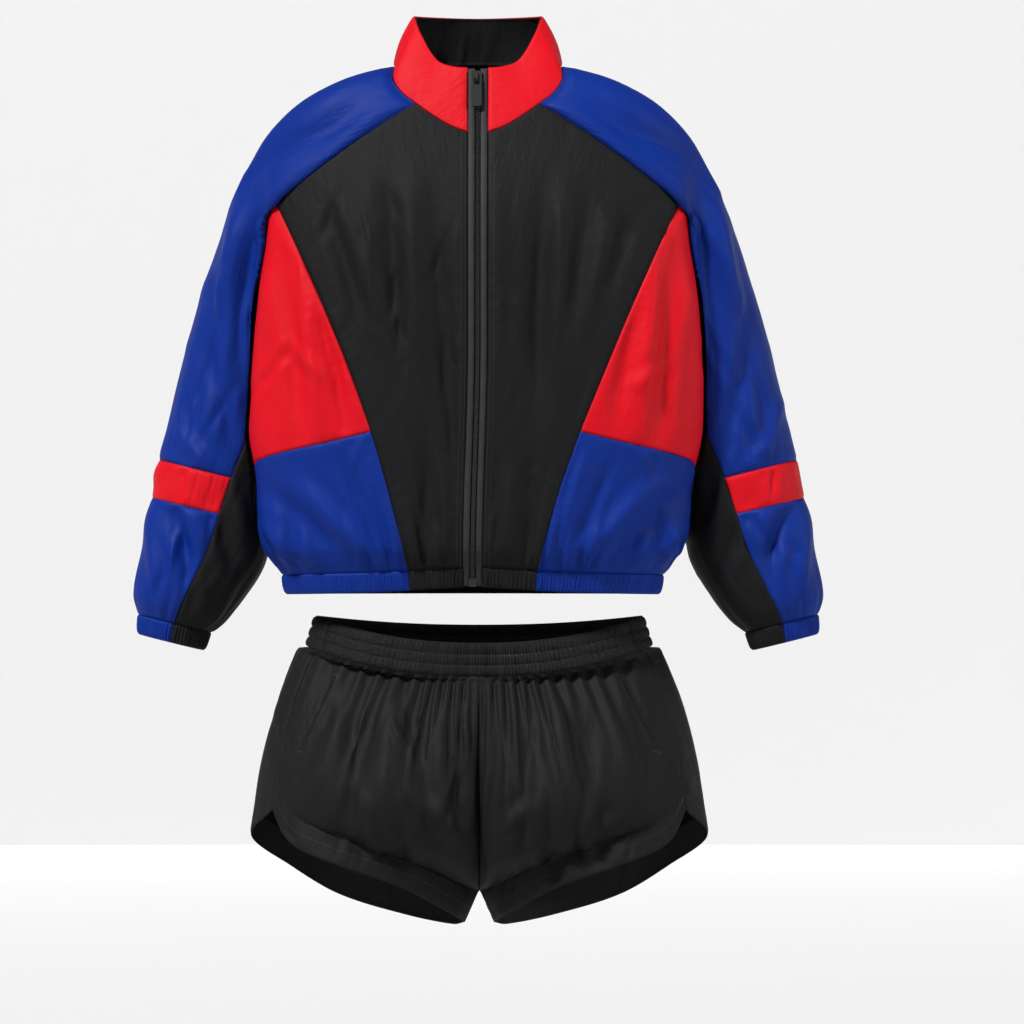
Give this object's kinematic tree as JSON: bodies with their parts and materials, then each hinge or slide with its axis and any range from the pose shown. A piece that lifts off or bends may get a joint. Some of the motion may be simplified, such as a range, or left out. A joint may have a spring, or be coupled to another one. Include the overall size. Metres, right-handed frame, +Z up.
{
  "type": "tracksuit of zip jacket and shorts",
  "caption": "Colour-blocked nylon zip track jacket with stand collar, raglan sleeves and elastic hem, with matching running shorts",
  "frame": {"origin": "centre of the jacket's neck base, where the wearer's neck and shoulders hold it up", "axes": "+Z up, -Y out of the front, +X to the right of the front view"},
  "size_m": [0.7624, 0.2783, 1.0014],
  "materials": {
    "black_nylon": "crinkled semi-matt woven nylon",
    "red_nylon": "crinkled semi-matt woven nylon",
    "blue_nylon": "crinkled semi-matt woven nylon",
    "zip_tape": "ribbed woven tape",
    "zip_plastic": "moulded coil",
    "zip_metal": "black painted metal"
  },
  "bodies": {
    "garment": {"front_left": "black_nylon", "side_red_left": "red_nylon", "side_blue_left": "blue_nylon", "hem_front_left": "black_nylon", "hem_side_left": "blue_nylon", "sleeve_upper_left": "blue_nylon", "sleeve_band_left": "red_nylon", "sleeve_lower_left": "blue_nylon", "sleeve_gore_left": "black_nylon", "cuff_outer_left": "blue_nylon", "cuff_inner_left": "black_nylon", "shorts_front_left": "black_nylon", "shorts_back_left": "black_nylon", "zip_tape_left": "zip_tape", "front_right": "black_nylon", "side_red_right": "red_nylon", "side_blue_right": "blue_nylon", "hem_front_right": "black_nylon", "hem_side_right": "blue_nylon", "sleeve_upper_right": "blue_nylon", "sleeve_band_right": "red_nylon", "sleeve_lower_right": "blue_nylon", "sleeve_gore_right": "black_nylon", "cuff_outer_right": "blue_nylon", "cuff_inner_right": "black_nylon", "shorts_front_right": "black_nylon", "shorts_back_right": "black_nylon", "zip_tape_right": "zip_tape", "back": "black_nylon", "hem_back": "black_nylon", "collar_outer": "red_nylon", "collar_inner": "black_nylon", "zip_coil": "zip_plastic", "zip_slider": "zip_metal", "zip_bottom_box": "zip_plastic", "waistband_front": "black_nylon", "waistband_back": "black_nylon"},
    "pull_tab": {"zip_pull_tab": "zip_metal"}
  },
  "joints": [
    {"name": "pull_tab_hinge", "type": "hinge", "parent": "garment", "child": "pull_tab", "pos_m": [-0.001, -0.079, -0.0165], "axis": [-1, 0, 0], "range_deg": [0, 150]}
  ]
}
